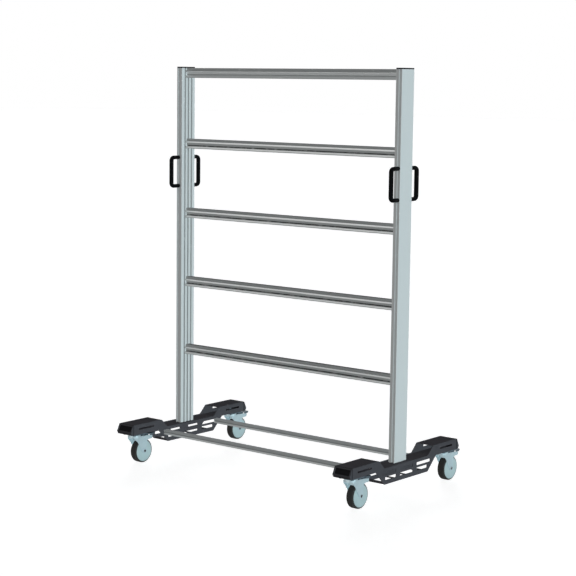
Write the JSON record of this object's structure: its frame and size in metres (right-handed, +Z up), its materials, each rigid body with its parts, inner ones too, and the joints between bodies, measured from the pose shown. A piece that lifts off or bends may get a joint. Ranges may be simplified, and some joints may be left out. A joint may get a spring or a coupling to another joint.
{
  "type": "transport cart",
  "caption": "Tall rolling frame of slotted aluminium uprights and hook-on bin rails, on gull-winged sheet-steel feet with braked swivel casters and bow handles.",
  "frame": {"origin": "on the ground, under the middle of the frame, halfway between the uprights", "axes": "+X to the right along the rails, -Y the front, +Z up"},
  "size_m": [1.218, 0.7738, 1.655],
  "materials": {
    "profile_aluminium": "anodised, satin",
    "foot_steel": "fine powder coat",
    "cap_plastic": "moulded",
    "handle_black": "satin",
    "fork_zinc": "zinc plated, blue passivated",
    "wheel_plastic": "moulded",
    "tyre_rubber": "matt",
    "lever_steel": "satin",
    "fastener_steel": "zinc plated"
  },
  "bodies": {
    "frame": {"bin_rail_1": "profile_aluminium", "bin_rail_2": "profile_aluminium", "bin_rail_3": "profile_aluminium", "bin_rail_4": "profile_aluminium", "bin_rail_5": "profile_aluminium", "caster_bolts": "fastener_steel", "caster_nuts": "fastener_steel", "foot_cross_strips": "foot_steel", "front_left_caster_plate": "fastener_steel", "front_left_handle": "handle_black", "front_right_caster_plate": "fastener_steel", "front_right_handle": "handle_black", "front_tie_rail": "profile_aluminium", "handle_slot_nuts": "fastener_steel", "handle_studs": "fastener_steel", "king_pins": "fastener_steel", "left_foot_covers": "foot_steel", "left_foot_end_caps": "cap_plastic", "left_foot_floor_plate": "foot_steel", "left_foot_inner_wall": "foot_steel", "left_foot_outer_wall": "foot_steel", "left_upright": "profile_aluminium", "left_upright_cap": "cap_plastic", "rail_connectors": "fastener_steel", "rail_set_screws": "fastener_steel", "rear_left_caster_plate": "fastener_steel", "rear_left_handle": "handle_black", "rear_right_caster_plate": "fastener_steel", "rear_right_handle": "handle_black", "rear_tie_rail": "profile_aluminium", "right_foot_covers": "foot_steel", "right_foot_end_caps": "cap_plastic", "right_foot_floor_plate": "foot_steel", "right_foot_inner_wall": "foot_steel", "right_foot_outer_wall": "foot_steel", "right_upright": "profile_aluminium", "right_upright_cap": "cap_plastic", "tie_rail_screws": "fastener_steel", "upright_base_screws": "fastener_steel"},
    "front_left_swivel_body": {"front_left_fork": "fork_zinc", "front_left_axle": "fastener_steel"},
    "front_left_wheel_body": {"front_left_wheel": "wheel_plastic", "front_left_tyre": "tyre_rubber"},
    "front_left_lever_body": {"front_left_brake_lever": "lever_steel"},
    "rear_left_swivel_body": {"rear_left_fork": "fork_zinc", "rear_left_axle": "fastener_steel"},
    "rear_left_wheel_body": {"rear_left_wheel": "wheel_plastic", "rear_left_tyre": "tyre_rubber"},
    "rear_left_lever_body": {"rear_left_brake_lever": "lever_steel"},
    "front_right_swivel_body": {"front_right_fork": "fork_zinc", "front_right_axle": "fastener_steel"},
    "front_right_wheel_body": {"front_right_wheel": "wheel_plastic", "front_right_tyre": "tyre_rubber"},
    "front_right_lever_body": {"front_right_brake_lever": "lever_steel"},
    "rear_right_swivel_body": {"rear_right_fork": "fork_zinc", "rear_right_axle": "fastener_steel"},
    "rear_right_wheel_body": {"rear_right_wheel": "wheel_plastic", "rear_right_tyre": "tyre_rubber"},
    "rear_right_lever_body": {"rear_right_brake_lever": "lever_steel"}
  },
  "joints": [
    {"name": "front_left_swivel", "type": "hinge", "parent": "frame", "child": "front_left_swivel_body", "pos_m": [-0.568, -0.305, 0.111], "axis": [0, 0, 1], "continuous": true},
    {"name": "front_left_wheel_spin", "type": "hinge", "parent": "front_left_swivel_body", "child": "front_left_wheel_body", "pos_m": [-0.568, -0.2635, 0.05], "axis": [1, 0, 0], "continuous": true},
    {"name": "front_left_brake_press", "type": "hinge", "parent": "front_left_swivel_body", "child": "front_left_lever_body", "pos_m": [-0.568, -0.2695, 0.112], "axis": [-1, 0, 0], "range_deg": [0, 4]},
    {"name": "rear_left_swivel", "type": "hinge", "parent": "frame", "child": "rear_left_swivel_body", "pos_m": [-0.568, 0.305, 0.111], "axis": [0, 0, 1], "continuous": true},
    {"name": "rear_left_wheel_spin", "type": "hinge", "parent": "rear_left_swivel_body", "child": "rear_left_wheel_body", "pos_m": [-0.568, 0.3465, 0.05], "axis": [1, 0, 0], "continuous": true},
    {"name": "rear_left_brake_press", "type": "hinge", "parent": "rear_left_swivel_body", "child": "rear_left_lever_body", "pos_m": [-0.568, 0.3405, 0.112], "axis": [-1, 0, 0], "range_deg": [0, 4]},
    {"name": "front_right_swivel", "type": "hinge", "parent": "frame", "child": "front_right_swivel_body", "pos_m": [0.568, -0.305, 0.111], "axis": [0, 0, 1], "continuous": true},
    {"name": "front_right_wheel_spin", "type": "hinge", "parent": "front_right_swivel_body", "child": "front_right_wheel_body", "pos_m": [0.568, -0.2635, 0.05], "axis": [1, 0, 0], "continuous": true},
    {"name": "front_right_brake_press", "type": "hinge", "parent": "front_right_swivel_body", "child": "front_right_lever_body", "pos_m": [0.568, -0.2695, 0.112], "axis": [-1, 0, 0], "range_deg": [0, 4]},
    {"name": "rear_right_swivel", "type": "hinge", "parent": "frame", "child": "rear_right_swivel_body", "pos_m": [0.568, 0.305, 0.111], "axis": [0, 0, 1], "continuous": true},
    {"name": "rear_right_wheel_spin", "type": "hinge", "parent": "rear_right_swivel_body", "child": "rear_right_wheel_body", "pos_m": [0.568, 0.3465, 0.05], "axis": [1, 0, 0], "continuous": true},
    {"name": "rear_right_brake_press", "type": "hinge", "parent": "rear_right_swivel_body", "child": "rear_right_lever_body", "pos_m": [0.568, 0.3405, 0.112], "axis": [-1, 0, 0], "range_deg": [0, 4]}
  ]
}
